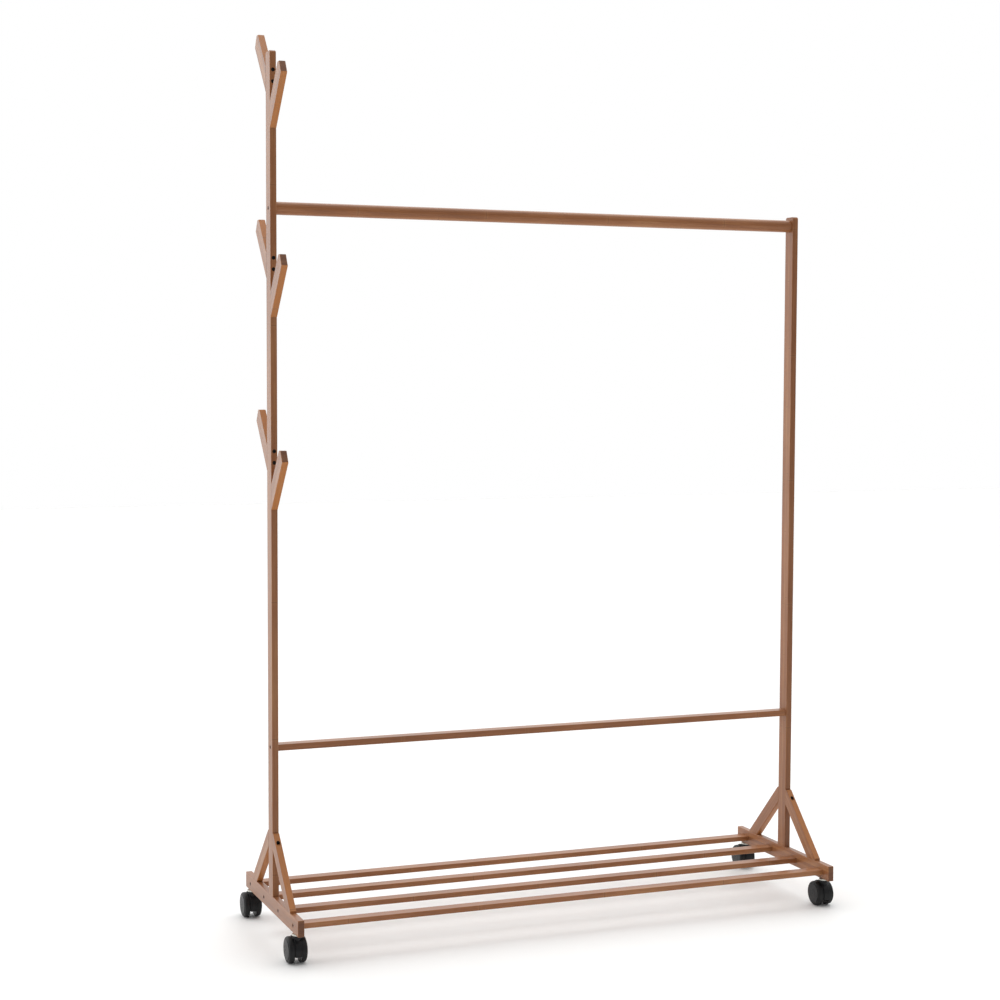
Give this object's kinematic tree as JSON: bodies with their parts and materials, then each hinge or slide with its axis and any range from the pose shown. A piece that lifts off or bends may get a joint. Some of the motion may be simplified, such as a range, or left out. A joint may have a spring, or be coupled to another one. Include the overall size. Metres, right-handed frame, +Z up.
{
  "type": "rolling clothes rack",
  "caption": "Rolling clothes rack of dark lacquered bamboo bars: round hanging rail between end posts, a taller post with slanted hook arms, a slatted shoe shelf and swivel casters.",
  "frame": {"origin": "on the floor under the middle of the rack", "axes": "+X along the hanging rail away from the tall post, +Y to the rear, +Z up"},
  "size_m": [1.124, 0.386, 1.684],
  "materials": {
    "bamboo": "carbonised bamboo strips under semi-gloss lacquer",
    "screw": "black oxide steel",
    "zinc_steel": "bright zinc plate",
    "hood_nylon": "moulded nylon, satin",
    "wheel_nylon": "moulded nylon, satin"
  },
  "bodies": {
    "frame": {"left_post": "bamboo", "right_post": "bamboo", "hanging_rail": "bamboo", "crossbar": "bamboo", "shelf_slat_1": "bamboo", "shelf_slat_2": "bamboo", "shelf_slat_3": "bamboo", "shelf_slat_4": "bamboo", "hook_arm_upper_front": "bamboo", "hook_arm_middle_front": "bamboo", "hook_arm_lower_front": "bamboo", "hook_arm_upper_rear": "bamboo", "hook_arm_middle_rear": "bamboo", "hook_arm_lower_rear": "bamboo", "left_foot": "bamboo", "right_foot": "bamboo", "left_front_brace": "bamboo", "left_rear_brace": "bamboo", "right_front_brace": "bamboo", "right_rear_brace": "bamboo", "rail_screws": "screw", "crossbar_screws": "screw", "shelf_slat_screws": "screw", "hook_arm_screws": "screw", "brace_upper_screws": "screw", "foot_screws": "screw", "caster_left_front_insert": "zinc_steel", "caster_left_front_stem": "zinc_steel", "caster_left_rear_insert": "zinc_steel", "caster_left_rear_stem": "zinc_steel", "caster_right_front_insert": "zinc_steel", "caster_right_front_stem": "zinc_steel", "caster_right_rear_insert": "zinc_steel", "caster_right_rear_stem": "zinc_steel"},
    "caster_left_front_fork": {"caster_left_front_hood": "hood_nylon", "caster_left_front_axle": "zinc_steel"},
    "caster_left_front_left_wheel_body": {"caster_left_front_wheel_left": "wheel_nylon"},
    "caster_left_front_right_wheel_body": {"caster_left_front_wheel_right": "wheel_nylon"},
    "caster_left_rear_fork": {"caster_left_rear_hood": "hood_nylon", "caster_left_rear_axle": "zinc_steel"},
    "caster_left_rear_left_wheel_body": {"caster_left_rear_wheel_left": "wheel_nylon"},
    "caster_left_rear_right_wheel_body": {"caster_left_rear_wheel_right": "wheel_nylon"},
    "caster_right_front_fork": {"caster_right_front_hood": "hood_nylon", "caster_right_front_axle": "zinc_steel"},
    "caster_right_front_left_wheel_body": {"caster_right_front_wheel_left": "wheel_nylon"},
    "caster_right_front_right_wheel_body": {"caster_right_front_wheel_right": "wheel_nylon"},
    "caster_right_rear_fork": {"caster_right_rear_hood": "hood_nylon", "caster_right_rear_axle": "zinc_steel"},
    "caster_right_rear_left_wheel_body": {"caster_right_rear_wheel_left": "wheel_nylon"},
    "caster_right_rear_right_wheel_body": {"caster_right_rear_wheel_right": "wheel_nylon"}
  },
  "joints": [
    {"name": "caster_left_front_swivel", "type": "hinge", "parent": "frame", "child": "caster_left_front_fork", "pos_m": [-0.544, -0.161, 0.0521], "axis": [0, 0, 1], "continuous": true},
    {"name": "caster_left_front_left_wheel_spin", "type": "hinge", "parent": "caster_left_front_fork", "child": "caster_left_front_left_wheel_body", "pos_m": [-0.544, -0.149, 0.024], "axis": [1, 0, 0], "continuous": true},
    {"name": "caster_left_front_right_wheel_spin", "type": "hinge", "parent": "caster_left_front_fork", "child": "caster_left_front_right_wheel_body", "pos_m": [-0.544, -0.149, 0.024], "axis": [1, 0, 0], "continuous": true},
    {"name": "caster_left_rear_swivel", "type": "hinge", "parent": "frame", "child": "caster_left_rear_fork", "pos_m": [-0.544, 0.161, 0.0521], "axis": [0, 0, 1], "continuous": true},
    {"name": "caster_left_rear_left_wheel_spin", "type": "hinge", "parent": "caster_left_rear_fork", "child": "caster_left_rear_left_wheel_body", "pos_m": [-0.544, 0.173, 0.024], "axis": [1, 0, 0], "continuous": true},
    {"name": "caster_left_rear_right_wheel_spin", "type": "hinge", "parent": "caster_left_rear_fork", "child": "caster_left_rear_right_wheel_body", "pos_m": [-0.544, 0.173, 0.024], "axis": [1, 0, 0], "continuous": true},
    {"name": "caster_right_front_swivel", "type": "hinge", "parent": "frame", "child": "caster_right_front_fork", "pos_m": [0.544, -0.161, 0.0521], "axis": [0, 0, 1], "continuous": true},
    {"name": "caster_right_front_left_wheel_spin", "type": "hinge", "parent": "caster_right_front_fork", "child": "caster_right_front_left_wheel_body", "pos_m": [0.544, -0.149, 0.024], "axis": [1, 0, 0], "continuous": true},
    {"name": "caster_right_front_right_wheel_spin", "type": "hinge", "parent": "caster_right_front_fork", "child": "caster_right_front_right_wheel_body", "pos_m": [0.544, -0.149, 0.024], "axis": [1, 0, 0], "continuous": true},
    {"name": "caster_right_rear_swivel", "type": "hinge", "parent": "frame", "child": "caster_right_rear_fork", "pos_m": [0.544, 0.161, 0.0521], "axis": [0, 0, 1], "continuous": true},
    {"name": "caster_right_rear_left_wheel_spin", "type": "hinge", "parent": "caster_right_rear_fork", "child": "caster_right_rear_left_wheel_body", "pos_m": [0.544, 0.173, 0.024], "axis": [1, 0, 0], "continuous": true},
    {"name": "caster_right_rear_right_wheel_spin", "type": "hinge", "parent": "caster_right_rear_fork", "child": "caster_right_rear_right_wheel_body", "pos_m": [0.544, 0.173, 0.024], "axis": [1, 0, 0], "continuous": true}
  ]
}
